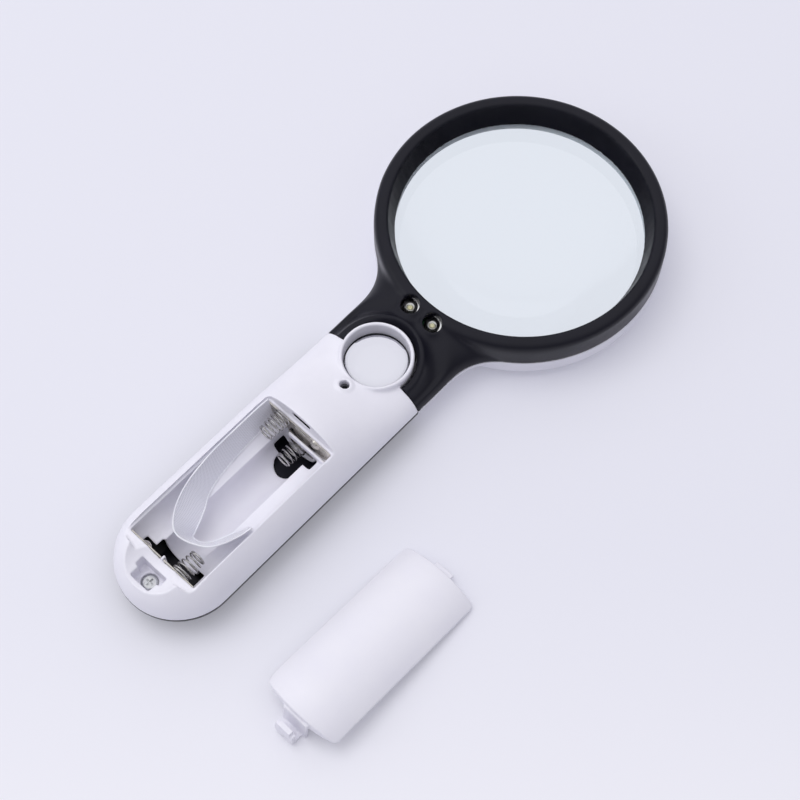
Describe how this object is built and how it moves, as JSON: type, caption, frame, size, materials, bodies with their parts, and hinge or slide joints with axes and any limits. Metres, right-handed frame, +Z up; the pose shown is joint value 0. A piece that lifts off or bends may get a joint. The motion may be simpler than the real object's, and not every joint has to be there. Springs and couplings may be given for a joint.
{
  "type": "low vision magnifier",
  "caption": "Hand magnifier with a round lens, a small strong lens in its neck, lights, a slide switch and a cell bay under a snap door.",
  "frame": {"origin": "on the main lens's axis, in the plane of the table the object lies on", "axes": "+X from the handle to the far side of the lens, +Y to the left of that, +Z up, away from the side that faces the reader"},
  "size_m": [0.187, 0.102, 0.023],
  "materials": {
    "white_plastic": "satin, fine moulded skin",
    "black_plastic": "satin",
    "clear_lens": "polished",
    "led_epoxy": "polished",
    "plated_contact": "bright plate",
    "spring_wire": "bright wire",
    "screw_steel": "plated",
    "circuit_board": "solder mask",
    "resistor_body": "lacquer",
    "wire_red": "insulation",
    "wire_black": "insulation",
    "switch_can_metal": "tinned",
    "ribbon_weave": "woven tape, half sheer"
  },
  "bodies": {
    "frame": {"head_rear_shell": "black_plastic", "head_front_shell": "white_plastic", "handle_rear_shell": "white_plastic", "handle_front_shell": "black_plastic", "main_lens": "clear_lens", "small_lens": "clear_lens", "small_lens_holder": "white_plastic", "led_left": "led_epoxy", "led_right": "led_epoxy", "led_small": "led_epoxy", "led_board": "circuit_board", "switch_board": "circuit_board", "resistor_left": "resistor_body", "resistor_right": "resistor_body", "wire_left": "wire_red", "wire_right": "wire_black", "switch_can": "switch_can_metal", "contact_far_upper": "plated_contact", "contact_far_lower": "plated_contact", "contact_near_right": "plated_contact", "contact_near_left": "plated_contact", "spring_far_upper": "spring_wire", "spring_far_lower": "spring_wire", "spring_near_right": "spring_wire", "battery_ribbon": "ribbon_weave", "screw_butt": "screw_steel", "screw_neck": "screw_steel"},
    "switch": {"switch_button": "white_plastic", "switch_lever": "black_plastic"},
    "door": {"battery_door": "white_plastic"},
    "latch": {"door_latch": "white_plastic"},
    "tip_far_upper": {"spring_far_upper_tip": "spring_wire"},
    "tip_far_lower": {"spring_far_lower_tip": "spring_wire"},
    "tip_near_right": {"spring_near_right_tip": "spring_wire"}
  },
  "joints": [
    {"name": "switch_slide", "type": "slide", "parent": "frame", "child": "switch", "axis": [1, 0, 0], "range_m": [-0.002, 0.002]},
    {"name": "door_lift", "type": "slide", "parent": "frame", "child": "door", "axis": [0, 0.62, 0.7846], "range_m": [0, 0.08]},
    {"name": "latch_flex", "type": "hinge", "parent": "door", "child": "latch", "pos_m": [-0.14324, -0.05, 0.00159], "axis": [0, 1, 0], "range_deg": [0, 8], "stiffness_Nm_per_rad": 0.05},
    {"name": "tip_far_upper", "type": "slide", "parent": "frame", "child": "tip_far_upper", "axis": [1, 0, 0], "range_m": [0, 0.004], "stiffness_N_per_m": 150, "deforming": ["spring_far_upper"]},
    {"name": "tip_far_lower", "type": "slide", "parent": "frame", "child": "tip_far_lower", "axis": [1, 0, 0], "range_m": [0, 0.004], "stiffness_N_per_m": 150, "deforming": ["spring_far_lower"]},
    {"name": "tip_near_right", "type": "slide", "parent": "frame", "child": "tip_near_right", "axis": [-1, 0, 0], "range_m": [0, 0.004], "stiffness_N_per_m": 150, "deforming": ["spring_near_right"]}
  ]
}
